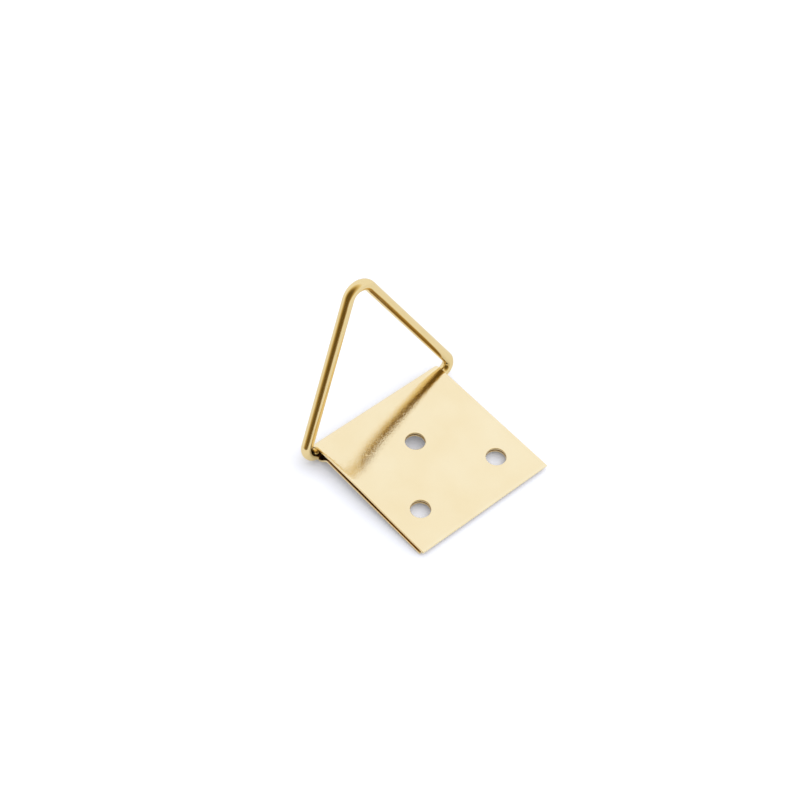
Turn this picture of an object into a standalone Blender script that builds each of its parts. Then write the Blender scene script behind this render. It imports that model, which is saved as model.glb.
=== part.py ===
"""Folding picture hanger: a thin sheet folded double over the base leg of a triangular wire ring.

The front face looks up (+Z), the fold runs along X and the ring is at the +Y end. The origin
lies on the outer face of the back leaf, halfway down its depth.
"""

import math

import bmesh
import bpy

# Folded sheet, lengths in metres
SHEET_WIDTH = 0.0200
SHEET_THICKNESS = 0.0003
LEAF_DEPTH = 0.01947
LEAF_GAP = 0.0001
LEAF_SHIFT = 0.00015
BACK_LEAF_SETBACK = 0.0004

# Knuckle: how far the back leaf's bend runs on beyond the roll before it is flat
BACK_RAMP = 0.0003

# Nail holes: the single one measured from the ring's axis, the pair from the free edge
HOLE_DIAMETER = 0.0025
HOLE_SINGLE_INSET = 0.00672
HOLE_PAIR_MARGIN = 0.00482
HOLE_PAIR_SPACING = 0.01218
CUTTER_OVERRUN = 0.001

# Wire ring
WIRE_DIAMETER = 0.00145
WIRE_CLEARANCE = 0.00005
WIRE_BUTT_GAP = 0.0003
RING_END_PLAY = 0.00013
RING_SLIDE = 0.00019
RING_HEIGHT = 0.01942
RING_BEND_RADIUS = 0.0012
RING_APEX_RADIUS = 0.00195
RING_REST_ANGLE = math.radians(74.9)

# Shape of the back leaf's bend: a power curve from the roll to the crease
BACK_BEND_POWER = 2
BACK_CURVE_SHARES = (0.2, 0.4, 0.6, 0.8, 1.0)

# Facets
ROLL_STEPS = 16
BEND_STEPS = 8
APEX_STEPS = 12
HOLE_SIDES = 32
WIRE_BEVEL_RESOLUTION = 10

# Derived sizes
WIRE_RADIUS = WIRE_DIAMETER / 2
ROLL_RADIUS = WIRE_RADIUS + WIRE_CLEARANCE + SHEET_THICKNESS / 2
LEAF_LEVEL = (LEAF_GAP + SHEET_THICKNESS) / 2
FOLD_Y = LEAF_DEPTH / 2
FOLD_Z = SHEET_THICKNESS + LEAF_GAP / 2
AXIS_DROP = ROLL_RADIUS - LEAF_LEVEL


def clear_scene():
    for thing in list(bpy.data.objects):
        bpy.data.objects.remove(thing, do_unlink=True)


def new_collection(name):
    collection = bpy.data.collections.new(name)
    bpy.context.scene.collection.children.link(collection)
    return collection


def plated_metal(name, color, roughness):
    material = bpy.data.materials.new(name)
    material.use_nodes = True
    shader = material.node_tree.nodes["Principled BSDF"]
    shader.inputs["Base Color"].default_value = color
    shader.inputs["Metallic"].default_value = 1.0
    shader.inputs["Roughness"].default_value = roughness
    material.diffuse_color = color
    return material


def fold_section():
    """Middle line of the sheet, as (side, y, z); side is 1 on the front leaf, -1 on the back.

    The front leaf runs flat onto the top of the roll. The back leaf bends down to its underside.
    """
    bend_depth = 2 * AXIS_DROP
    bend_reach = math.sqrt(2 * bend_depth * ROLL_RADIUS) + BACK_RAMP

    points = [(1, -LEAF_DEPTH, LEAF_LEVEL)]
    for step in range(ROLL_STEPS + 1):
        angle = math.pi / 2 - math.pi * step / ROLL_STEPS
        height = ROLL_RADIUS * math.sin(angle)
        points.append((math.sin(angle), ROLL_RADIUS * math.cos(angle), height - AXIS_DROP))
    for part in BACK_CURVE_SHARES:
        drop = bend_depth * (1 - part ** BACK_BEND_POWER)
        points.append((-1, -bend_reach * part, -LEAF_LEVEL - drop))
    points.append((-1, BACK_LEAF_SETBACK - LEAF_DEPTH, -LEAF_LEVEL))
    return points


def fold_surface():
    """Open surface through the middle of the sheet: a strip of a grid, bent along the section."""
    section = fold_section()
    rows = len(section) - 1
    bm = bmesh.new()
    bmesh.ops.create_grid(bm, x_segments=1, y_segments=rows, size=1)
    for vert in bm.verts:
        row = round((vert.co.y + 1) / 2 * rows)
        side, y, z = section[row]
        vert.co = (vert.co.x * SHEET_WIDTH / 2 + side * LEAF_SHIFT / 2, y, z)
    bmesh.ops.recalc_face_normals(bm, faces=bm.faces)
    mesh = bpy.data.meshes.new("folded_plate")
    bm.to_mesh(mesh)
    bm.free()
    return mesh


def hole_cutters(collection):
    """Three round punches, through both leaves."""
    pair_y = HOLE_PAIR_MARGIN - LEAF_DEPTH
    places = (
        (0, -HOLE_SINGLE_INSET),
        (-HOLE_PAIR_SPACING / 2, pair_y),
        (HOLE_PAIR_SPACING / 2, pair_y),
    )
    reach = LEAF_LEVEL + SHEET_THICKNESS / 2 + CUTTER_OVERRUN
    for number, (x, y) in enumerate(places, 1):
        bpy.ops.mesh.primitive_cylinder_add(vertices=HOLE_SIDES, radius=HOLE_DIAMETER / 2, depth=2 * reach)
        cutter = bpy.context.object
        cutter.name = f"hole_cutter_{number}"
        cutter.location = (x, y + FOLD_Y, FOLD_Z)
        cutter.hide_render = True
        cutter.display_type = "WIRE"
        for other in list(cutter.users_collection):
            other.objects.unlink(cutter)
        collection.objects.link(cutter)


def make_plate(parts, cutters):
    """The sheet, folded over the wire, flattened to two leaves and punched."""
    plate = bpy.data.objects.new("folded_plate", fold_surface())
    plate.location = (0, FOLD_Y, FOLD_Z)
    plate.data.materials.append(plated_metal("plated_sheet", (0.83, 0.68, 0.36, 1), 0.3))
    parts.objects.link(plate)

    shell = plate.modifiers.new("Sheet", "SOLIDIFY")
    shell.thickness = SHEET_THICKNESS
    shell.offset = 0
    shell.use_even_offset = True
    shell.use_quality_normals = True

    hole_cutters(cutters)
    punch = plate.modifiers.new("Holes", "BOOLEAN")
    punch.operation = "DIFFERENCE"
    punch.solver = "EXACT"
    punch.operand_type = "COLLECTION"
    punch.collection = cutters


def arc(center, radius, start, end, steps):
    points = []
    for step in range(steps + 1):
        angle = start + (end - start) * step / steps
        points.append((center[0] + radius * math.cos(angle), center[1] + radius * math.sin(angle)))
    return points


def ring_path():
    """Centre line of the wire from its butt joint, round the ring and back, in the ring's own plane."""
    bend = ((SHEET_WIDTH + LEAF_SHIFT) / 2 + RING_END_PLAY, RING_BEND_RADIUS)
    apex = (0, RING_HEIGHT - RING_APEX_RADIUS)
    span_x = apex[0] - bend[0]
    span_y = apex[1] - bend[1]
    lean = math.acos((RING_BEND_RADIUS - RING_APEX_RADIUS) / math.hypot(span_x, span_y))
    normal = math.atan2(span_y, span_x) - lean
    right = [(WIRE_BUTT_GAP / 2, 0)] + arc(bend, RING_BEND_RADIUS, -math.pi / 2, normal, BEND_STEPS)
    top = arc(apex, RING_APEX_RADIUS, normal, math.pi - normal, APEX_STEPS)
    left = [(-x, y) for x, y in reversed(right)]
    return right + top + left


def make_ring(parts):
    """One length of wire, bent to a triangle, with its two ends butted inside the fold."""
    path = ring_path()
    curve = bpy.data.curves.new("triangle_ring", "CURVE")
    curve.dimensions = "3D"
    curve.bevel_depth = WIRE_RADIUS
    curve.bevel_resolution = WIRE_BEVEL_RESOLUTION
    curve.use_fill_caps = True
    spline = curve.splines.new("POLY")
    spline.points.add(len(path) - 1)
    spline.use_smooth = True
    for point, (x, y) in zip(spline.points, path):
        point.co = (x, y, 0, 1)

    ring = bpy.data.objects.new("triangle_ring", curve)
    ring.location = (RING_SLIDE, FOLD_Y, FOLD_Z - AXIS_DROP)
    ring.rotation_euler = (RING_REST_ANGLE, 0, 0)
    ring.data.materials.append(plated_metal("plated_wire", (0.83, 0.66, 0.34, 1), 0.25))
    parts.objects.link(ring)


def main():
    clear_scene()
    parts = new_collection("folding_picture_hanger")
    cutters = new_collection("cutters")
    make_plate(parts, cutters)
    make_ring(parts)


main()
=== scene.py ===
import math

import bmesh
import bpy
import numpy as np
from mathutils import Matrix, Vector


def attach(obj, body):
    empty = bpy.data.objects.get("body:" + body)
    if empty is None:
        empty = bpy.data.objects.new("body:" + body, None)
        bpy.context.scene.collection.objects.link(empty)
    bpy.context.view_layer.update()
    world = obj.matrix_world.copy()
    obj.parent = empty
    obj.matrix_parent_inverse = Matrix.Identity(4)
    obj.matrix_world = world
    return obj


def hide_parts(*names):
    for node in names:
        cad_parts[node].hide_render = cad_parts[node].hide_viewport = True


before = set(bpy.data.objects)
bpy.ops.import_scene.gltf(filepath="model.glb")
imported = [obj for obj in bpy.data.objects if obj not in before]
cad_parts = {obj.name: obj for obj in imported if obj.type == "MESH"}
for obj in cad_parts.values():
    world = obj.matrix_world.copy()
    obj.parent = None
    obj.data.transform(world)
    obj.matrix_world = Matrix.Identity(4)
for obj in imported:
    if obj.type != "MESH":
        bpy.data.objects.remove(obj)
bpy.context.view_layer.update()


# ---------------------------------------------------------------------------
# Folded plate: one piece of steel strip, sheared to length, bent double over the wire of the
# ring and squeezed, with three nail holes punched through both leaves. Brass plated after
# forming, so that cut edges and holes carry the plating too.
# ---------------------------------------------------------------------------

MM = 0.001

SHEET_WIDTH = 20.0 * MM
SHEET_THICKNESS = 0.3 * MM
LEAF_DEPTH = 19.47 * MM
LEAF_GAP = 0.1 * MM
LEAF_SHIFT = 0.15 * MM
BACK_LEAF_SETBACK = 0.4 * MM
BACK_RUN = 0.3 * MM
CREASE_SOFTNESS = 0.25 * MM

# The front leaf is springy and doesn't lie quite flat, which bends the ring's mirror image in it
SWELL_HEIGHT = 0.11 * MM
SWELL_X = -10.0 * MM
SWELL_WIDTH = 4.5 * MM
SWELL_Y = -8.0 * MM
SWELL_LENGTH = 4.4 * MM
SWELL_FADE = 2.0 * MM
CURL_HEIGHT = 0.025 * MM
CURL_REACH = 2.0 * MM

WIRE_DIAMETER = 1.45 * MM
WIRE_CLEARANCE = 0.05 * MM
ROLL_OUTSIDE = WIRE_DIAMETER / 2 + WIRE_CLEARANCE + SHEET_THICKNESS
ROLL_MIDDLE = ROLL_OUTSIDE - SHEET_THICKNESS / 2
SKIN = LEAF_GAP / 2 + SHEET_THICKNESS
AXIS_DROP = ROLL_OUTSIDE - SKIN

HOLE_RADIUS = 1.25 * MM
HOLE_SPREAD = 6.09 * MM
SINGLE_Y = -6.72 * MM
PAIR_Y = -14.65 * MM
HOLES = ((0, SINGLE_Y), (-HOLE_SPREAD, PAIR_Y), (HOLE_SPREAD, PAIR_Y))

# Shearing rolls the outer face over a little before it cuts, and leaves a crisp edge
ROLLOVER_REACH = 0.16 * MM
ROLLOVER_DEPTH = 0.030 * MM
ROLLOVER_LOOPS = (0.0, 0.045 * MM, 0.09 * MM, ROLLOVER_REACH)
EDGE_BREAK = 0.04 * MM
BREAK_STEPS = 2
SHARP_EDGE = 1.0  # radians

# How far the painted highlight of the sheared ends reaches, and how much painted shade, with a
# duller finish, the walls of the holes get
END_HIGHLIGHT_REACH = 0.3 * MM
HOLE_SHADE = 0.6

# The grid of the flat strip, the points of the bend's outline, and how firmly flat faces shade
PUNCH_MARGIN = 0.45 * MM
ACROSS = 58
FRONT_ROWS = 60
ROLL_ROWS = 30
BACK_BEND_ROWS = 20
CREASE_ROWS = 12
BACK_ROWS = 50
ROLL_POINTS = 240
BACK_BEND_POINTS = 400
FACE_WEIGHT = 60

# The fold's middle line stands at this place in the part's frame
FOLD_PLACE = Vector((0, LEAF_DEPTH / 2, SKIN))


def bend_outline():
    """The sheet's outer face, cut across the fold: flat, round the roll, down the bend, flat."""
    bend_depth = 2 * AXIS_DROP
    reach = math.sqrt(2 * bend_depth * ROLL_MIDDLE) + BACK_RUN
    slope = 2 * bend_depth / reach
    reach += SHEET_THICKNESS / 2 * math.tan(math.atan(slope) / 2)
    turn = np.linspace(math.pi / 2, -math.pi / 2, ROLL_POINTS)
    y = np.linspace(0, -reach - CREASE_SOFTNESS, BACK_BEND_POINTS)
    inside = np.clip(CREASE_SOFTNESS - np.abs(y + reach), 0, None)
    rounding = slope * inside ** 2 / (4 * CREASE_SOFTNESS)
    z = -SKIN - bend_depth * (1 - np.clip(-y / reach, 0, 1) ** 2) - rounding
    return [
        np.array([(-LEAF_DEPTH, SKIN), (-LEAF_DEPTH / 2, SKIN), (0, SKIN)]),
        np.stack([ROLL_OUTSIDE * np.cos(turn), ROLL_OUTSIDE * np.sin(turn) - AXIS_DROP], 1),
        np.stack([y, z], 1),
        np.array([(y[-1], -SKIN), (BACK_LEAF_SETBACK - LEAF_DEPTH, -SKIN)]),
    ]


outline = bend_outline()
face_points = np.concatenate([outline[0]] + [part[1:] for part in outline[1:]])
face_lengths = np.concatenate([[0], np.cumsum(np.hypot(*np.diff(face_points, axis=0).T))])
crest, under, flat_start, total = face_lengths[np.cumsum([len(part) - 1 for part in outline])]
crease_start = flat_start - 2 * CREASE_SOFTNESS
face_tangents = np.gradient(face_points, face_lengths, axis=0)


def face_at(length):
    """Place and outward normal of the outer face at a length from the front edge."""
    place = [np.interp(length, face_lengths, face_points[:, k]) for k in (0, 1)]
    along = [np.interp(length, face_lengths, face_tangents[:, k]) for k in (0, 1)]
    size = math.hypot(*along)
    return place, (-along[1] / size, along[0] / size)


def swell(x, y):
    """How far the springy front leaf stands off near its left edge, which also curls up."""
    fade = min(1, max(0, -y / SWELL_FADE))
    across = (x - SWELL_X) / SWELL_WIDTH
    down = (y - SWELL_Y) / SWELL_LENGTH
    curl = max(0, 1 - (x + SHEET_WIDTH / 2) / CURL_REACH) ** 2
    return (SWELL_HEIGHT * math.exp(-across ** 2 - down ** 2) + CURL_HEIGHT * curl) * fade


def leaf_side(length):
    """1 on the front leaf, -1 on the back leaf, and between the two round the roll."""
    return math.cos(np.interp(length, (crest, under), (0, math.pi)))


def spread(start, end, count):
    """Evenly spaced places after the start, up to and with the end."""
    return [start + (end - start) * step / count for step in range(1, count + 1)]


def cut_blank():
    """The flat strip: a grid with columns along it and rows that follow the bends to come."""
    half = SHEET_WIDTH / 2
    columns = [loop - half for loop in ROLLOVER_LOOPS]
    columns += spread(columns[-1], half - ROLLOVER_REACH, ACROSS)
    columns += [half - loop for loop in reversed(ROLLOVER_LOOPS[:-1])]
    rows = list(ROLLOVER_LOOPS)
    rows += spread(rows[-1], crest, FRONT_ROWS)
    rows += spread(crest, under, ROLL_ROWS)
    rows += spread(under, crease_start, BACK_BEND_ROWS)
    rows += spread(crease_start, flat_start, CREASE_ROWS)
    rows += spread(flat_start, total - ROLLOVER_REACH, BACK_ROWS)
    rows += [total - loop for loop in reversed(ROLLOVER_LOOPS[:-1])]
    bm = bmesh.new()
    for name in ("edge", "inner_shade"):
        bm.verts.layers.float.new(name)
    bm.verts.layers.float_vector.new("strip")
    bmesh.ops.create_grid(bm, x_segments=len(columns) - 1, y_segments=len(rows) - 1, size=1)
    for vert in bm.verts:
        column = round((vert.co.x + 1) / 2 * (len(columns) - 1))
        row = round((vert.co.y + 1) / 2 * (len(rows) - 1))
        vert.co = (columns[column], rows[row], 0)
    return bm


def hole_point(hole, front, reach, angle):
    """A point round a hole, on the unrolled sheet."""
    side = 1 if front else -1
    x = hole[0] + reach * math.cos(angle) - side * LEAF_SHIFT / 2
    y = hole[1] + reach * math.sin(angle)
    if front:
        return Vector((x, y + LEAF_DEPTH, 0))
    return Vector((x, total - (y + LEAF_DEPTH - BACK_LEAF_SETBACK), 0))


def punch(bm, hole, front):
    """Opens the grid round a hole and closes in on it with rings, the last one the hole's rim."""
    centre = hole_point(hole, front, 0, 0)
    clear = HOLE_RADIUS + ROLLOVER_REACH + PUNCH_MARGIN
    waste = [f for f in bm.faces if (f.calc_center_median() - centre).length < clear]
    bmesh.ops.delete(bm, geom=waste, context="FACES")
    rim = [e for e in bm.edges if e.is_boundary
           and (e.verts[0].co - centre).length < 2 * HOLE_RADIUS]
    turn = 1 if front else -1
    for reach in [HOLE_RADIUS + loop for loop in reversed(ROLLOVER_LOOPS)]:
        pulled = bmesh.ops.extrude_edge_only(bm, edges=rim)["geom"]
        ring = [g for g in pulled if isinstance(g, bmesh.types.BMVert)]
        rim = [g for g in pulled if isinstance(g, bmesh.types.BMEdge) and g.is_boundary]
        angles = {v: math.atan2(turn * (v.co.y - centre.y), v.co.x - centre.x) for v in ring}
        ring.sort(key=angles.get)
        step = 2 * math.pi / len(ring)
        start = sum(angles[v] - step * k for k, v in enumerate(ring)) / len(ring)
        for k, vert in enumerate(ring):
            vert.co = hole_point(hole, front, reach, start + step * k)


blank = cut_blank()
for hole in HOLES:
    punch(blank, hole, True)
    punch(blank, hole, False)
bmesh.ops.recalc_face_normals(blank, faces=blank.faces)
if blank.faces[0].normal.z < 0:
    bmesh.ops.reverse_faces(blank, faces=blank.faces)

# The outer face rolls over toward every edge and hole. Toward the two sheared ends the tone is
# painted paler, a painted highlight; the long edges are left plain; the inner face and the holes'
# walls get a painted shade and a duller finish.
rims = [v for v in blank.verts if v.is_boundary]
rim_points = np.array([v.co for v in rims])
edge_layer = blank.verts.layers.float["edge"]
inner_shade_layer = blank.verts.layers.float["inner_shade"]
for vert in blank.verts:
    away = np.sqrt(((rim_points - np.array(vert.co)) ** 2).sum(1).min())
    inward = min(vert.co.y, total - vert.co.y)
    vert[edge_layer] = max(0, 1 - inward / END_HIGHLIGHT_REACH)
    if abs(vert.co.x) > SHEET_WIDTH / 2 - EDGE_BREAK:
        vert[inner_shade_layer] = 0
    else:
        vert[inner_shade_layer] = min(1 - vert[edge_layer], 1 if away > EDGE_BREAK else HOLE_SHADE)
    if away < ROLLOVER_REACH:
        vert.co.z = -ROLLOVER_DEPTH * (1 - away / ROLLOVER_REACH) ** 2

# The strip gets its thickness, and its rims a broken edge
outer_verts = list(blank.verts)
pushed = bmesh.ops.extrude_face_region(blank, geom=list(blank.faces), use_keep_orig=True)
inner_verts = [g for g in pushed["geom"] if isinstance(g, bmesh.types.BMVert)]
for vert in outer_verts:
    vert[inner_shade_layer] = 0
for vert in inner_verts:
    vert.co.z = -SHEET_THICKNESS
bmesh.ops.recalc_face_normals(blank, faces=blank.faces)
sharp = [e for e in blank.edges if len(e.link_faces) == 2 and e.calc_face_angle() > SHARP_EDGE]
bmesh.ops.bevel(blank, geom=sharp, offset=EDGE_BREAK, offset_type="OFFSET", segments=BREAK_STEPS,
                profile=0.5, affect="EDGES", material=-1, clamp_overlap=True)

# The strip is folded over the wire
strip_layer = blank.verts.layers.float_vector["strip"]
for vert in blank.verts:
    x, length, depth = vert.co
    vert[strip_layer] = vert.co
    kept = min(max(length, 0), total)
    (y, z), (ny, nz) = face_at(kept)
    if length < crest:
        z += swell(x, y)
    shift = leaf_side(length) * LEAF_SHIFT / 2
    vert.co = Vector((x + shift, y + length - kept + ny * depth, z + nz * depth)) + FOLD_PLACE
for face in blank.faces:
    face.smooth = True

plate_mesh = bpy.data.meshes.new("punched_folded_plate")
blank.to_mesh(plate_mesh)
blank.free()
plate = bpy.data.objects.new("punched_folded_plate", plate_mesh)
bpy.context.scene.collection.objects.link(plate)
evening = plate.modifiers.new("Even shading", "WEIGHTED_NORMAL")
evening.keep_sharp = True
evening.weight = FACE_WEIGHT


def linear(code):
    """An sRGB hex colour as a linear one."""
    parts = [int(code[k:k + 2], 16) / 255 for k in (1, 3, 5)]
    return [p / 12.92 if p <= 0.04045 else ((p + 0.055) / 1.055) ** 2.4 for p in parts] + [1]


def add(tree, kind, settings=None, inputs=None):
    """A node of that kind, with its settings, and its inputs given as values or linked sockets."""
    node = tree.nodes.new(kind)
    for name, value in (settings or {}).items():
        setattr(node, name, value)
    for name, value in (inputs or {}).items():
        if isinstance(value, bpy.types.NodeSocket):
            tree.links.new(value, node.inputs[name])
        else:
            node.inputs[name].default_value = value
    return node


def new_material(name):
    """A material with an empty node tree."""
    material = bpy.data.materials.new(name)
    material.use_nodes = True
    tree = material.node_tree
    tree.nodes.clear()
    return material, tree


# Brass-plated cold-rolled steel: a pale yellow mirror, softened by the strip's fine rolled grain.
# Inside the fold and down the holes' walls it is painted darker and redder, a painted shade, and
# toward the sheared ends paler, a painted highlight. The cut walls have no grain. The faces' real
# grain is finer, and is drawn coarser so that it shows.
SHEET_PATCHES = 6 * MM
SHEET_GRAIN = 0.16 * MM
SHEET_WAVES = 1.6 * MM

sheet_finish, tree = new_material("brass_plated_rolled_strip")
strip = add(tree, "ShaderNodeAttribute", {"attribute_name": "strip"})
edge = add(tree, "ShaderNodeAttribute", {"attribute_name": "edge"})
inner_shade = add(tree, "ShaderNodeAttribute", {"attribute_name": "inner_shade"})
place = add(tree, "ShaderNodeTexCoord")
patches = add(tree, "ShaderNodeTexNoise", inputs={
    "Vector": place.outputs["Object"], "Scale": 1 / SHEET_PATCHES, "Detail": 3.0,
    "Roughness": 0.5})
tone = add(tree, "ShaderNodeMix", {"data_type": "RGBA"}, {
    0: patches.outputs["Fac"], 6: linear("#F4E1B6"), 7: linear("#FBEFCF")})
# A patchy paler tone toward the sheared ends: a painted highlight
end_highlight = add(tree, "ShaderNodeMath", {"operation": "MULTIPLY"}, {
    0: edge.outputs["Fac"], 1: patches.outputs["Fac"]})
highlighted_tone = add(tree, "ShaderNodeMix", {"data_type": "RGBA"}, {
    0: end_highlight.outputs[0], 6: tone.outputs[2], 7: linear("#FFF8DC")})
# Darker and redder inside the fold and down the holes' walls: painted shade
shaded_tone = add(tree, "ShaderNodeMix", {"data_type": "RGBA"}, {
    0: inner_shade.outputs["Fac"], 6: highlighted_tone.outputs[2], 7: linear("#B98A45")})
grain = add(tree, "ShaderNodeTexNoise", inputs={
    "Vector": strip.outputs["Vector"], "Scale": 1 / SHEET_GRAIN, "Detail": 1.0, "Roughness": 0.5})
waves = add(tree, "ShaderNodeTexNoise", inputs={
    "Vector": strip.outputs["Vector"], "Scale": 1 / SHEET_WAVES, "Detail": 1.0})
depth = add(tree, "ShaderNodeSeparateXYZ", inputs={"Vector": strip.outputs["Vector"]})
rolled = add(tree, "ShaderNodeMapRange", inputs={
    "Value": depth.outputs["Z"], "From Min": -2 * ROLLOVER_DEPTH, "From Max": -ROLLOVER_DEPTH,
    "To Max": 0.55})
fine = add(tree, "ShaderNodeBump", inputs={
    "Height": grain.outputs["Fac"], "Strength": rolled.outputs["Result"], "Distance": 0.01 * MM})
broad = add(tree, "ShaderNodeBump", inputs={
    "Height": waves.outputs["Fac"], "Strength": 0.10, "Distance": 0.03 * MM,
    "Normal": fine.outputs["Normal"]})
rough = add(tree, "ShaderNodeMapRange", inputs={
    "Value": patches.outputs["Fac"], "From Min": 0.3, "From Max": 0.7,
    "To Min": 0.06, "To Max": 0.09})
dull = add(tree, "ShaderNodeMath", {"operation": "MULTIPLY_ADD"}, {
    0: inner_shade.outputs["Fac"], 1: 0.15, 2: rough.outputs["Result"]})
# Less metallic where the painted shade lies, which darkens it further
shaded_metallic = add(tree, "ShaderNodeMapRange", inputs={
    "Value": inner_shade.outputs["Fac"], "To Min": 1.0, "To Max": 0.85})
shader = add(tree, "ShaderNodeBsdfPrincipled", inputs={
    "Base Color": shaded_tone.outputs[2], "Metallic": shaded_metallic.outputs["Result"],
    "Roughness": dull.outputs[0], "Normal": broad.outputs["Normal"]})
add(tree, "ShaderNodeOutputMaterial", inputs={"Surface": shader.outputs["BSDF"]})

plate_mesh.materials.append(sheet_finish)
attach(plate, "plate")
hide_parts("folded_plate")


# ---------------------------------------------------------------------------
# Triangle ring: one length of round steel wire, bent at two corners and over a rounded top,
# with its ends meeting inside the fold. It is brass plated and swings in the fold.
# ---------------------------------------------------------------------------

RING_HEIGHT = 19.42 * MM
END_PLAY = 0.13 * MM
RING_SLIDE = 0.19 * MM
CORNER_RADIUS = 1.2 * MM
TOP_RADIUS = 1.95 * MM
BUTT_GAP = 0.3 * MM
RING_ANGLE = math.radians(74.9)
WIRE_END_BREAK = 0.06 * MM

WIRE_SIDES = 40
BASE_STEPS = 12
BEND_STEPS = 22
LEG_STEPS = 24
TOP_STEPS = 30
END_BREAK_STEPS = 3

# The bends' centres, and the way and length of the straight legs between them, in the ring's plane
corner_x = (SHEET_WIDTH + LEAF_SHIFT) / 2 + END_PLAY
corner = Vector((corner_x, CORNER_RADIUS, 0))
top = Vector((0, RING_HEIGHT - TOP_RADIUS, 0))
run = top - corner
lean = math.acos((CORNER_RADIUS - TOP_RADIUS) / run.length)
outward = math.atan2(run.y, run.x) - lean
leg_length = math.sqrt(run.length_squared - (CORNER_RADIUS - TOP_RADIUS) ** 2)
leg_direction = Vector((-math.sin(outward), math.cos(outward), 0))

wire = bmesh.new()
drawn_layer = wire.verts.layers.float_vector.new("drawn")
start = bmesh.ops.create_circle(wire, segments=WIRE_SIDES, radius=WIRE_DIAMETER / 2,
                                matrix=Matrix.Rotation(math.pi / 2, 4, "Y"))["verts"]
bmesh.ops.translate(wire, verts=start, vec=(BUTT_GAP / 2, 0, 0))
for vert in start:
    vert[drawn_layer] = (0, vert.co.y, vert.co.z)
section_edges = list({e for vert in start for e in vert.link_edges})
travelled = 0.0


def draw_on(edges, travelled):
    """Pushes the wire's open end out by a copy of itself, ready to be moved on."""
    new = bmesh.ops.extrude_edge_only(wire, edges=edges)["geom"]
    verts = [g for g in new if isinstance(g, bmesh.types.BMVert)]
    for vert in verts:
        place = vert[drawn_layer]
        vert[drawn_layer] = (travelled, place.y, place.z)
    fresh = set(verts)
    rim = [g for g in new
           if isinstance(g, bmesh.types.BMEdge) and all(v in fresh for v in g.verts)]
    return rim, verts


def straight(edges, direction, length, steps, travelled):
    """A straight length of wire, as its new open end and the length drawn so far."""
    for step in range(steps):
        travelled += length / steps
        edges, verts = draw_on(edges, travelled)
        bmesh.ops.translate(wire, verts=verts, vec=direction * (length / steps))
    return edges, travelled


def bend(edges, centre, radius, angle, steps, travelled):
    """A round bend to the left about a centre in the ring's plane."""
    for step in range(steps):
        travelled += radius * angle / steps
        edges, verts = draw_on(edges, travelled)
        bmesh.ops.rotate(wire, verts=verts, cent=centre,
                         matrix=Matrix.Rotation(angle / steps, 3, "Z"))
    return edges, travelled


along_base = Vector((1, 0, 0))
half_base = corner_x - BUTT_GAP / 2
left_corner = Vector((-corner_x, CORNER_RADIUS, 0))
left_direction = Vector((leg_direction.x, -leg_direction.y, 0))
corner_turn = outward + math.pi / 2

end, travelled = straight(section_edges, along_base, half_base, BASE_STEPS, travelled)
end, travelled = bend(end, corner, CORNER_RADIUS, corner_turn, BEND_STEPS, travelled)
end, travelled = straight(end, leg_direction, leg_length, LEG_STEPS, travelled)
end, travelled = bend(end, top, TOP_RADIUS, math.pi - 2 * outward, TOP_STEPS, travelled)
end, travelled = straight(end, left_direction, leg_length, LEG_STEPS, travelled)
end, travelled = bend(end, left_corner, CORNER_RADIUS, corner_turn, BEND_STEPS, travelled)
end, travelled = straight(end, along_base, half_base, BASE_STEPS, travelled)

# The two ends are closed, and their rims broken
bmesh.ops.contextual_create(wire, geom=section_edges)
bmesh.ops.contextual_create(wire, geom=end)
bmesh.ops.recalc_face_normals(wire, faces=wire.faces)
end_rims = [e for e in wire.edges if len(e.link_faces) == 2 and e.calc_face_angle() > SHARP_EDGE]
bmesh.ops.bevel(wire, geom=end_rims, offset=WIRE_END_BREAK, offset_type="OFFSET",
                segments=END_BREAK_STEPS, profile=0.5, affect="EDGES", material=-1,
                clamp_overlap=True)
for face in wire.faces:
    face.smooth = True

# The ring is put in the fold and stood up
stand = Matrix.Translation(FOLD_PLACE + Vector((RING_SLIDE, 0, -AXIS_DROP)))
stand = stand @ Matrix.Rotation(RING_ANGLE, 4, "X")
bmesh.ops.transform(wire, matrix=stand, verts=wire.verts)

ring_mesh = bpy.data.meshes.new("bent_wire_ring")
wire.to_mesh(ring_mesh)
wire.free()
ring = bpy.data.objects.new("bent_wire_ring", ring_mesh)
bpy.context.scene.collection.objects.link(ring)

# Brass-plated drawn wire: brighter than the strip, with faint lines along it from the drawing
# die, so that it shows sharp dark and light streaks. The real lines are finer, and are drawn
# coarser so that they show.
WIRE_PATCHES = 3 * MM
DIE_LINES = 0.06 * MM
DIE_LINE_STRETCH = 0.02
WIRE_GRAIN = 0.12 * MM

wire_finish, tree = new_material("brass_plated_drawn_wire")
drawn = add(tree, "ShaderNodeAttribute", {"attribute_name": "drawn"})
stretched = add(tree, "ShaderNodeVectorMath", {"operation": "MULTIPLY"}, {
    0: drawn.outputs["Vector"], 1: (DIE_LINE_STRETCH, 1, 1)})
place = add(tree, "ShaderNodeTexCoord")
patches = add(tree, "ShaderNodeTexNoise", inputs={
    "Vector": place.outputs["Object"], "Scale": 1 / WIRE_PATCHES, "Detail": 3.0, "Roughness": 0.5})
tone = add(tree, "ShaderNodeMix", {"data_type": "RGBA"}, {
    0: patches.outputs["Fac"], 6: linear("#E8D29A"), 7: linear("#F0DDAE")})
lines = add(tree, "ShaderNodeTexNoise", inputs={
    "Vector": stretched.outputs[0], "Scale": 1 / DIE_LINES, "Detail": 2.0, "Roughness": 0.5})
grain = add(tree, "ShaderNodeTexNoise", inputs={
    "Vector": place.outputs["Object"], "Scale": 1 / WIRE_GRAIN, "Detail": 2.0, "Roughness": 0.5})
scored = add(tree, "ShaderNodeBump", inputs={
    "Height": lines.outputs["Fac"], "Strength": 0.10, "Distance": 0.01 * MM})
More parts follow.
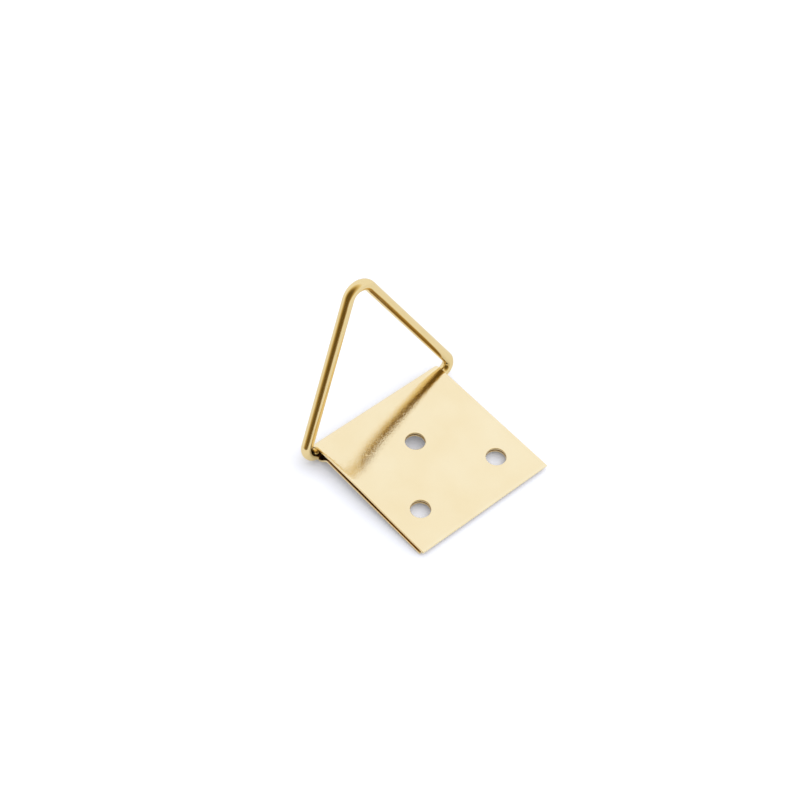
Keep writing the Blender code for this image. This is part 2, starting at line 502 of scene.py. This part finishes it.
fine = add(tree, "ShaderNodeBump", inputs={
    "Height": grain.outputs["Fac"], "Strength": 0.06, "Distance": 0.01 * MM,
    "Normal": scored.outputs["Normal"]})
polish = add(tree, "ShaderNodeMapRange", inputs={
    "Value": lines.outputs["Fac"], "From Min": 0.3, "From Max": 0.7,
    "To Min": 0.10, "To Max": 0.16})
shader = add(tree, "ShaderNodeBsdfPrincipled", inputs={
    "Base Color": tone.outputs[2], "Metallic": 1.0, "Roughness": polish.outputs["Result"],
    "Normal": fine.outputs["Normal"]})
add(tree, "ShaderNodeOutputMaterial", inputs={"Surface": shader.outputs["BSDF"]})

ring_mesh.materials.append(wire_finish)
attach(ring, "ring")
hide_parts("triangle_ring")


# ---------------------------------------------------------------------------
# Floor: a plain white sweep. The hanger rests on the roll's underside and the back leaf's free
# edge, so the floor leans a little against the part's own frame.
# ---------------------------------------------------------------------------

FLOOR_SIZE = 2.0
FLOOR_DROP = -1.45 * MM
FLOOR_LEAN = -0.0762

# How far the hanger's shade reaches, how open the floor must be to mirror white, and how much of
# a lift the camera and the polished metal see
SHADE_REACH = 3.0 * MM
OPEN_FROM = 0.6
SEEN_LIFT = 0.54
MIRRORED_LIFT = 0.32

# The soft light is stronger from the right, a little to the front, so shade gathers on the left
KEY_AZIMUTH = math.radians(112)
KEY_PULL = math.radians(35)
key_side = Vector((math.sin(KEY_AZIMUTH), math.cos(KEY_AZIMUTH), 0))
key_tilt = key_side * math.sin(KEY_PULL) + Vector((0, 0, math.cos(KEY_PULL)))

floor_mesh = bpy.data.meshes.new("floor")
bm = bmesh.new()
bmesh.ops.create_grid(bm, x_segments=1, y_segments=1, size=FLOOR_SIZE / 2)
for vert in bm.verts:
    vert.co.z = FLOOR_DROP + FLOOR_LEAN * (vert.co.y - FOLD_PLACE.y)
bm.to_mesh(floor_mesh)
bm.free()
floor = bpy.data.objects.new("floor", floor_mesh)
bpy.context.scene.collection.objects.link(floor)

# Matt white card, which looks pure white but for the soft shade round the hanger. What the camera
# and the polished metal see of it glows, lifted to white where the hanger leaves it open to the
# light; where the hanger closes it in the glow fades, which paints part of that shade. The glow
# that the metal mirrors is a warm cream, a painted reflection.
white_sweep, tree = new_material("matt_white_sweep")
matt = add(tree, "ShaderNodeBsdfDiffuse", inputs={"Color": linear("#EEF0F6")})
path = add(tree, "ShaderNodeLightPath")
# The occlusion is taken along a normal leaning toward the stronger light, so the painted part of
# the shade gathers on the left
tilt = add(tree, "ShaderNodeCombineXYZ", inputs={
    "X": key_tilt.x, "Y": key_tilt.y, "Z": key_tilt.z})
open_air = add(tree, "ShaderNodeAmbientOcclusion", {"samples": 8}, {
    "Distance": SHADE_REACH, "Normal": tilt.outputs[0]})
seen = add(tree, "ShaderNodeMath", {"operation": "MULTIPLY"}, {
    0: path.outputs["Is Camera Ray"], 1: open_air.outputs["AO"]})
lift = add(tree, "ShaderNodeMath", {"operation": "MULTIPLY"}, {0: seen.outputs[0], 1: SEEN_LIFT})
glow = add(tree, "ShaderNodeEmission", inputs={
    "Color": linear("#F3F5FF"), "Strength": lift.outputs[0]})
unscattered = add(tree, "ShaderNodeMath", {"operation": "LESS_THAN"}, {
    0: path.outputs["Diffuse Depth"], 1: 0.5})
mirrored = add(tree, "ShaderNodeMath", {"operation": "MULTIPLY"}, {
    0: path.outputs["Is Glossy Ray"], 1: unscattered.outputs[0]})
cleared = add(tree, "ShaderNodeMapRange", inputs={
    "Value": open_air.outputs["AO"], "From Max": OPEN_FROM})
in_open = add(tree, "ShaderNodeMath", {"operation": "MULTIPLY"}, {
    0: mirrored.outputs[0], 1: cleared.outputs["Result"]})
mirrored_lift = add(tree, "ShaderNodeMath", {"operation": "MULTIPLY"}, {
    0: in_open.outputs[0], 1: MIRRORED_LIFT})
mirrored_glow = add(tree, "ShaderNodeEmission", inputs={
    "Color": linear("#FFF6DC"), "Strength": mirrored_lift.outputs[0]})
glows = add(tree, "ShaderNodeAddShader", inputs={0: glow.outputs[0], 1: mirrored_glow.outputs[0]})
both = add(tree, "ShaderNodeAddShader", inputs={0: matt.outputs[0], 1: glows.outputs[0]})
add(tree, "ShaderNodeOutputMaterial", inputs={"Surface": both.outputs[0]})
floor_mesh.materials.append(white_sweep)


# ---------------------------------------------------------------------------
# Studio: plain white soft light all round and from above, somewhat stronger from the right. The
# side in front and to the left is unlit, and polished metal mirrors it as brown streaks.
# ---------------------------------------------------------------------------

DARK_AZIMUTH = math.radians(235)
DARK_ELEVATION = math.radians(35)
DARK_CORE = math.radians(24)
DARK_EDGE = math.radians(76)
LEFT_STRENGTH = 0.4
RIGHT_STRENGTH = 1.1

dark_side = Vector((math.sin(DARK_AZIMUTH) * math.cos(DARK_ELEVATION),
                    math.cos(DARK_AZIMUTH) * math.cos(DARK_ELEVATION),
                    math.sin(DARK_ELEVATION)))

world = bpy.data.worlds.new("soft_studio")
bpy.context.scene.world = world
world.use_nodes = True
tree = world.node_tree
tree.nodes.clear()
sky = add(tree, "ShaderNodeTexCoord")
toward = add(tree, "ShaderNodeVectorMath", {"operation": "DOT_PRODUCT"}, {
    0: sky.outputs["Generated"], 1: tuple(dark_side)})
unlit = add(tree, "ShaderNodeMapRange", inputs={
    "Value": toward.outputs["Value"], "From Min": math.cos(DARK_EDGE),
    "From Max": math.cos(DARK_CORE)})
shade = add(tree, "ShaderNodeValToRGB", inputs={"Fac": unlit.outputs["Result"]})
stops = ((0.0, "#FFFFFF"), (0.15, "#F8EED6"), (0.35, "#E8D6AA"), (0.55, "#CDB47C"),
         (0.72, "#A88F58"), (0.86, "#866D3B"), (1.0, "#6C5628"))
for share, code in stops[1:-1]:
    shade.color_ramp.elements.new(share)
for element, (share, code) in zip(shade.color_ramp.elements, stops):
    element.position = share
    element.color = linear(code)
mirrored = add(tree, "ShaderNodeBackground", inputs={
    "Color": shade.outputs["Color"], "Strength": 1.0})
key = add(tree, "ShaderNodeVectorMath", {"operation": "DOT_PRODUCT"}, {
    0: sky.outputs["Generated"], 1: tuple(key_side)})
soft = add(tree, "ShaderNodeMapRange", inputs={
    "Value": key.outputs["Value"], "From Min": -1.0, "From Max": 1.0,
    "To Min": LEFT_STRENGTH, "To Max": RIGHT_STRENGTH})
light = add(tree, "ShaderNodeBackground", inputs={
    "Color": linear("#FFFFFF"), "Strength": soft.outputs["Result"]})
backdrop = add(tree, "ShaderNodeBackground", inputs={"Color": linear("#FFFFFF"), "Strength": 1.0})
path = add(tree, "ShaderNodeLightPath")
lit = add(tree, "ShaderNodeMixShader", inputs={
    0: path.outputs["Is Glossy Ray"], 1: light.outputs[0], 2: mirrored.outputs[0]})
shown = add(tree, "ShaderNodeMixShader", inputs={
    0: path.outputs["Is Camera Ray"], 1: lit.outputs[0], 2: backdrop.outputs[0]})
add(tree, "ShaderNodeOutputWorld", inputs={"Surface": shown.outputs[0]})


# ---------------------------------------------------------------------------
# Camera: the photograph's view, from high up over the left front corner, through a long lens.
# Its focal length is 1700 pixels on a frame of 800, and the camera is rolled by a few degrees.
# ---------------------------------------------------------------------------

VIEW_AZIMUTH = math.radians(-44.1)
VIEW_ELEVATION = math.radians(51.66)
VIEW_ROLL = math.radians(4.2)
VIEW_DISTANCE = 210.11 * MM
VIEW_OFFSET = (-2.549 * MM, 1.098 * MM)
FOCAL_SHARE = 1700 / 800
SENSOR = 36

back = Vector((math.sin(VIEW_AZIMUTH) * math.cos(VIEW_ELEVATION),
               -math.cos(VIEW_AZIMUTH) * math.cos(VIEW_ELEVATION), math.sin(VIEW_ELEVATION)))
right = Vector((0, 0, 1)).cross(back).normalized()
up = back.cross(right)
turned_right = right * math.cos(VIEW_ROLL) + up * math.sin(VIEW_ROLL)
turned_up = up * math.cos(VIEW_ROLL) - right * math.sin(VIEW_ROLL)
stance = (back * VIEW_DISTANCE - turned_right * VIEW_OFFSET[0] + turned_up * VIEW_OFFSET[1]
          + FOLD_PLACE)

camera_data = bpy.data.cameras.new("camera")
camera_data.sensor_width = SENSOR
camera_data.lens = FOCAL_SHARE * SENSOR
camera_data.clip_start = 0.01
camera = bpy.data.objects.new("camera", camera_data)
axes = Matrix((turned_right, turned_up, back)).transposed().to_4x4()
camera.matrix_world = Matrix.Translation(stance) @ axes
bpy.context.scene.collection.objects.link(camera)
bpy.context.scene.camera = camera
bpy.context.scene.view_settings.view_transform = "Standard"
